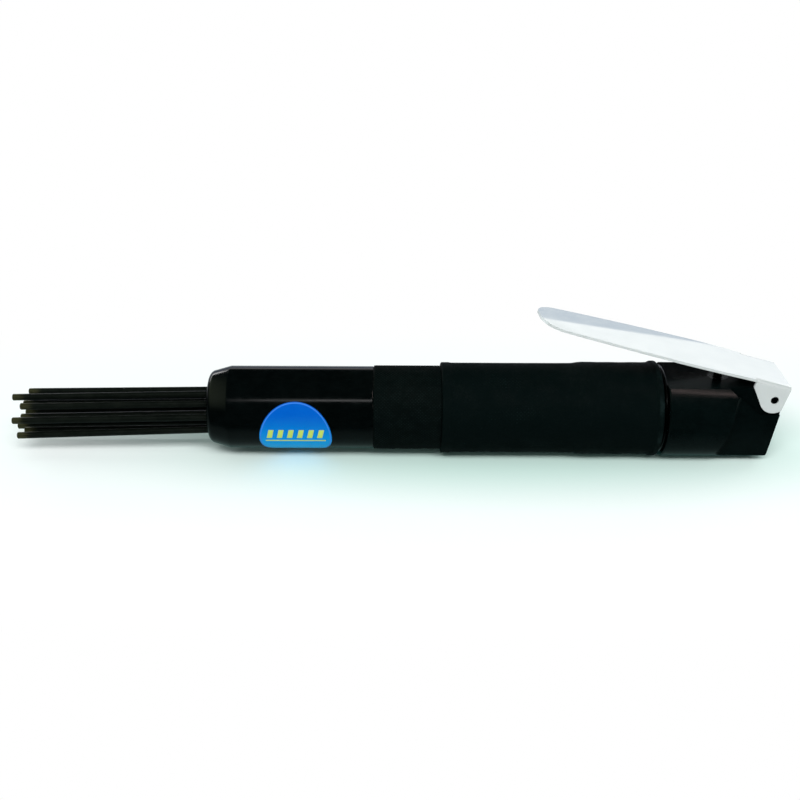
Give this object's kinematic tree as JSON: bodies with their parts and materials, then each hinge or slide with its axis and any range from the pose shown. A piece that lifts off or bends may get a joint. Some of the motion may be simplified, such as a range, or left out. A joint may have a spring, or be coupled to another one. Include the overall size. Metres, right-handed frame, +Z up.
{
  "type": "straight needle scaler",
  "caption": "Straight pneumatic needle scaler: steel needle bundle in a front tube, knurled barrel, rubber grip sleeve, and a throttle head with a plated lever and threaded air inlet.",
  "frame": {"origin": "middle of the underside, on the surface that the tool lies on", "axes": "+X along the tool towards its air inlet, +Z up towards the lever"},
  "size_m": [0.3478, 0.0432, 0.068],
  "materials": {
    "head_black": "satin black paint",
    "barrel_steel": "black finish, knurled",
    "tube_black": "gloss black",
    "sleeve_rubber": "matte",
    "seal_rubber": "smooth",
    "label_film": "gloss blue film",
    "bronze": "turned",
    "valve_steel": "turned",
    "bright_steel": "ground",
    "dark_steel": "black oxide",
    "spring_steel": "drawn wire",
    "lever_plate": "bright plating",
    "needle_steel": "dark, hardened"
  },
  "bodies": {
    "tool": {"throttle_body": "head_black", "barrel": "barrel_steel", "front_tube": "tube_black", "grip_sleeve": "sleeve_rubber", "sleeve_ring": "dark_steel", "label": "label_film", "anvil_bush": "bronze", "valve_block": "valve_steel", "valve_cap": "valve_steel", "valve_dowels": "bright_steel", "barrel_seal": "seal_rubber", "inlet_screen": "bronze", "pin_bush": "dark_steel", "pin_seal": "seal_rubber", "throttle_spring": "spring_steel", "throttle_plug": "dark_steel", "plug_seal": "seal_rubber", "lever_pin": "dark_steel", "return_spring": "spring_steel"},
    "lever": {"lever": "lever_plate"},
    "throttle": {"throttle_pin": "dark_steel", "throttle_valve": "bronze", "throttle_face": "seal_rubber"},
    "holder": {"needle_holder": "valve_steel"},
    "anvil": {"anvil": "valve_steel"},
    "piston": {"piston": "bright_steel"},
    "disc": {"valve_disc": "bright_steel"},
    "needle_01": {"needle_01": "needle_steel"},
    "needle_02": {"needle_02": "needle_steel"},
    "needle_03": {"needle_03": "needle_steel"},
    "needle_04": {"needle_04": "needle_steel"},
    "needle_05": {"needle_05": "needle_steel"},
    "needle_06": {"needle_06": "needle_steel"},
    "needle_07": {"needle_07": "needle_steel"},
    "needle_08": {"needle_08": "needle_steel"},
    "needle_09": {"needle_09": "needle_steel"},
    "needle_10": {"needle_10": "needle_steel"},
    "needle_11": {"needle_11": "needle_steel"},
    "needle_12": {"needle_12": "needle_steel"}
  },
  "joints": [
    {"name": "lever_hinge", "type": "hinge", "parent": "tool", "child": "lever", "pos_m": [0.1672, 0, 0.03185], "axis": [0, -1, 0], "range_deg": [0, 9], "stiffness_Nm_per_rad": 0.9, "springref_deg": -4.58},
    {"name": "throttle_slide", "type": "slide", "parent": "tool", "child": "throttle", "axis": [0, 0, -1], "range_m": [0, 0.00383], "deforming": ["throttle_spring"]},
    {"name": "holder_slide", "type": "slide", "parent": "tool", "child": "holder", "axis": [-1, 0, 0], "range_m": [0, 0.008], "stiffness_N_per_m": 2000, "springref_m": -0.004, "deforming": ["return_spring"]},
    {"name": "anvil_slide", "type": "slide", "parent": "tool", "child": "anvil", "axis": [-1, 0, 0], "range_m": [0, 0.008]},
    {"name": "piston_slide", "type": "slide", "parent": "tool", "child": "piston", "axis": [1, 0, 0], "range_m": [0, 0.0257]},
    {"name": "valve_disc_slide", "type": "slide", "parent": "tool", "child": "disc", "axis": [1, 0, 0], "range_m": [-0.0004, 0.0004]},
    {"name": "needle_01_slide", "type": "slide", "parent": "holder", "child": "needle_01", "axis": [-0.9998, 0.0051, -0.0173], "range_m": [-0.00064, 0.00736]},
    {"name": "needle_02_slide", "type": "slide", "parent": "holder", "child": "needle_02", "axis": [-0.9998, -0.0045, -0.021], "range_m": [-0.00584, 0.00216]},
    {"name": "needle_03_slide", "type": "slide", "parent": "holder", "child": "needle_03", "axis": [-0.9998, -0.0048, -0.0173], "range_m": [-0.00112, 0.00688]},
    {"name": "needle_04_slide", "type": "slide", "parent": "holder", "child": "needle_04", "axis": [-0.9998, -0.0054, -0.0201], "range_m": [-0.00488, 0.00312]},
    {"name": "needle_05_slide", "type": "slide", "parent": "holder", "child": "needle_05", "axis": [-0.9994, -0.0097, -0.0337], "range_m": [-0.004, 0.004]},
    {"name": "needle_06_slide", "type": "slide", "parent": "holder", "child": "needle_06", "axis": [-0.9998, -0.0048, -0.0171], "range_m": [-0.00232, 0.00568]},
    {"name": "needle_07_slide", "type": "slide", "parent": "holder", "child": "needle_07", "axis": [-0.9995, 0.0069, -0.0306], "range_m": [-0.008, 0]},
    {"name": "needle_08_slide", "type": "slide", "parent": "holder", "child": "needle_08", "axis": [-0.9996, 0.0092, -0.0282], "range_m": [-0.005, 0.003]},
    {"name": "needle_09_slide", "type": "slide", "parent": "holder", "child": "needle_09", "axis": [-0.9997, 0.0047, -0.0222], "range_m": [-0.004, 0.004]},
    {"name": "needle_10_slide", "type": "slide", "parent": "holder", "child": "needle_10", "axis": [-0.9999, 0, -0.0157], "range_m": [-0.0024, 0.0056]},
    {"name": "needle_11_slide", "type": "slide", "parent": "holder", "child": "needle_11", "axis": [-0.9997, 0.0038, -0.0244], "range_m": [-0.0032, 0.0048]},
    {"name": "needle_12_slide", "type": "slide", "parent": "holder", "child": "needle_12", "axis": [-0.9997, -0.0013, -0.0244], "range_m": [-0.0016, 0.0064]}
  ],
  "couplings": [
    {"joint": "throttle_slide", "follows": "lever_hinge", "m_per_rad": 0.024263},
    {"joint": "anvil_slide", "follows": "holder_slide", "ratio": 1}
  ]
}
